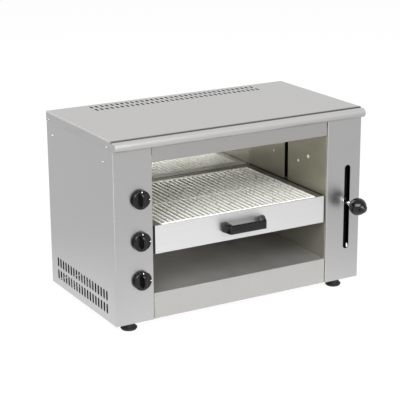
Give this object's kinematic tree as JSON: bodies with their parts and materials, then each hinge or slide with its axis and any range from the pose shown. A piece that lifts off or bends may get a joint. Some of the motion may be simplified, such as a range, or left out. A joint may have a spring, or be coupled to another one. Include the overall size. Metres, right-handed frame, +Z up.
{
  "type": "cheese melter",
  "caption": "Electric counter-top grill: open steel cabinet, elements above, lever-raised carriage with a pull-out tray and wire grid, turning knobs at the left.",
  "frame": {"origin": "centre of the bounding box, on the surface that the feet stand on", "axes": "+X to the right seen from the front, +Y to the back, +Z up; the open front faces -Y"},
  "size_m": [0.8044, 0.549, 0.547],
  "materials": {
    "brushed_stainless": "brushed",
    "satin_stainless": "fine satin",
    "polished_stainless": "mirror polished",
    "galvanised_steel": "galvanised",
    "mineral_wool": "felted, black faced",
    "element_sheath": "oxidised",
    "steatite": "unglazed",
    "zinc_fastener": "zinc plated",
    "brass_stud": "turned",
    "chrome_steel": "polished",
    "blackened_steel": "blackened, greased",
    "black_phenolic": "moulded gloss",
    "black_enamel": "satin enamel",
    "cast_aluminium": "cast",
    "black_rubber": "moulded",
    "black_nylon": "moulded"
  },
  "bodies": {
    "cabinet": {"left_casing": "brushed_stainless", "right_casing": "brushed_stainless", "top_cover": "brushed_stainless", "back_panel": "brushed_stainless", "base_plate": "galvanised_steel", "floor_panel": "brushed_stainless", "valance": "brushed_stainless", "left_cavity_wall": "brushed_stainless", "right_cavity_wall": "brushed_stainless", "cavity_back_wall": "polished_stainless", "ceiling_reflector": "polished_stainless", "insulation_blanket": "mineral_wool", "left_heating_element": "element_sheath", "right_heating_element": "element_sheath", "element_brackets": "galvanised_steel", "element_bushes": "steatite", "left_zone_control": "black_nylon", "right_zone_control": "black_nylon", "timer_switch": "black_nylon", "control_bracket": "galvanised_steel", "terminal_block": "steatite", "cable_gland": "black_nylon", "gland_nut": "zinc_fastener", "bonding_stud": "brass_stud", "left_guide_frame": "galvanised_steel", "right_guide_frame": "galvanised_steel", "left_guide_rods": "blackened_steel", "right_guide_rods": "blackened_steel", "brake_strap": "galvanised_steel", "front_left_foot": "black_rubber", "front_right_foot": "black_rubber", "rear_left_foot": "black_rubber", "rear_right_foot": "black_rubber", "foot_screws": "zinc_fastener", "casing_screws": "zinc_fastener", "wall_screws": "zinc_fastener", "wall_bolts": "zinc_fastener"},
    "carriage": {"left_carriage_rail": "black_enamel", "right_carriage_rail": "black_enamel", "rear_cross_bar": "black_enamel", "bottom_tie": "black_enamel", "left_slide_block": "cast_aluminium", "right_slide_block": "cast_aluminium", "lever_arm": "zinc_fastener", "lever_rod": "chrome_steel", "ball_knob": "black_phenolic"},
    "release": {"release_button": "black_phenolic", "push_rod": "zinc_fastener", "release_spring": "zinc_fastener"},
    "tray": {"tray_front": "satin_stainless", "drip_tray": "satin_stainless", "tray_handle": "black_phenolic", "handle_screws": "zinc_fastener"},
    "grid": {"wire_grid": "chrome_steel"},
    "upper_control": {"upper_knob": "black_phenolic", "upper_spindle": "zinc_fastener"},
    "middle_control": {"middle_knob": "black_phenolic", "middle_spindle": "zinc_fastener"},
    "lower_control": {"lower_knob": "black_phenolic", "lower_spindle": "zinc_fastener"}
  },
  "joints": [
    {"name": "carriage_lift", "type": "slide", "parent": "cabinet", "child": "carriage", "axis": [0, 0, 1], "range_m": [-0.107, 0.105]},
    {"name": "release_press", "type": "slide", "parent": "carriage", "child": "release", "axis": [0, 1, 0], "range_m": [0, 0.006], "stiffness_N_per_m": 900, "springref_m": -0.003, "deforming": ["release_spring"]},
    {"name": "tray_pull", "type": "slide", "parent": "carriage", "child": "tray", "axis": [0, -1, 0], "range_m": [0, 0.28]},
    {"name": "grid_lift", "type": "slide", "parent": "tray", "child": "grid", "axis": [0, 0, 1], "range_m": [0, 0.04]},
    {"name": "upper_knob_turn", "type": "hinge", "parent": "cabinet", "child": "upper_control", "pos_m": [-0.321, -0.1975, 0.3804], "axis": [0, 1, 0], "range_deg": [0, 300]},
    {"name": "middle_knob_turn", "type": "hinge", "parent": "cabinet", "child": "middle_control", "pos_m": [-0.321, -0.1975, 0.2624], "axis": [0, 1, 0], "range_deg": [0, 300]},
    {"name": "lower_knob_turn", "type": "hinge", "parent": "cabinet", "child": "lower_control", "pos_m": [-0.321, -0.1975, 0.1514], "axis": [0, 1, 0], "range_deg": [0, 300]}
  ]
}
